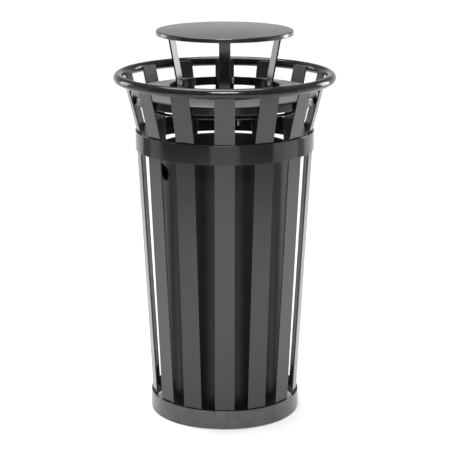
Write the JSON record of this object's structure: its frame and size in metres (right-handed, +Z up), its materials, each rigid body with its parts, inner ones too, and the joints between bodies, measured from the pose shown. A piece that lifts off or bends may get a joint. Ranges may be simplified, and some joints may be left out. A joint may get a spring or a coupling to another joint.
{
  "type": "litter bin",
  "caption": "Round slatted steel litter bin with a flared tube rim, a lift-out plastic liner and a lift-off lid under a round rain cap on legs.",
  "frame": {"origin": "on the floor, at the centre of the base", "axes": "+Z up along the bin's axis; -Y towards the front slat and the front cap leg"},
  "size_m": [0.6099, 0.61, 1.0812],
  "materials": {
    "frame_coat": "semi-gloss black powder coat",
    "lid_coat": "semi-gloss black powder coat",
    "cap_coat": "semi-gloss black powder coat with fine texture",
    "liner_plastic": "moulded, fine grain",
    "glide_nylon": "moulded",
    "fastener_steel": "zinc plated"
  },
  "bodies": {
    "frame": {"rim_tube": "frame_coat", "waist_band": "frame_coat", "base_band": "frame_coat", "base_spider": "frame_coat", "slat_01": "frame_coat", "slat_02": "frame_coat", "slat_03": "frame_coat", "slat_04": "frame_coat", "slat_05": "frame_coat", "slat_06": "frame_coat", "slat_07": "frame_coat", "slat_08": "frame_coat", "slat_09": "frame_coat", "slat_10": "frame_coat", "slat_11": "frame_coat", "slat_12": "frame_coat", "slat_13": "frame_coat", "slat_14": "frame_coat", "glide_1": "glide_nylon", "glide_2": "glide_nylon", "glide_3": "glide_nylon", "glide_4": "glide_nylon", "glide_screws": "fastener_steel", "waist_eye_bolt": "fastener_steel", "waist_eye_nut": "fastener_steel"},
    "liner": {"liner": "liner_plastic"},
    "lid": {"lid_deck": "lid_coat", "lid_collar": "lid_coat", "lid_ring": "lid_coat", "ring_hanger_1": "lid_coat", "ring_hanger_2": "lid_coat", "ring_hanger_3": "lid_coat", "cap_leg_1": "lid_coat", "cap_leg_2": "lid_coat", "cap_leg_3": "lid_coat", "collar_bolts": "fastener_steel", "collar_nuts": "fastener_steel", "rain_cap": "cap_coat", "cap_studs": "fastener_steel", "cap_nuts": "fastener_steel", "lid_eye_bolt": "fastener_steel", "lid_eye_nut": "fastener_steel"}
  },
  "joints": [
    {"name": "liner_lift", "type": "slide", "parent": "frame", "child": "liner", "axis": [0, 0, 1], "range_m": [0, 0.96]},
    {"name": "lid_lift", "type": "slide", "parent": "liner", "child": "lid", "axis": [0, 0, 1], "range_m": [0, 0.3]}
  ]
}
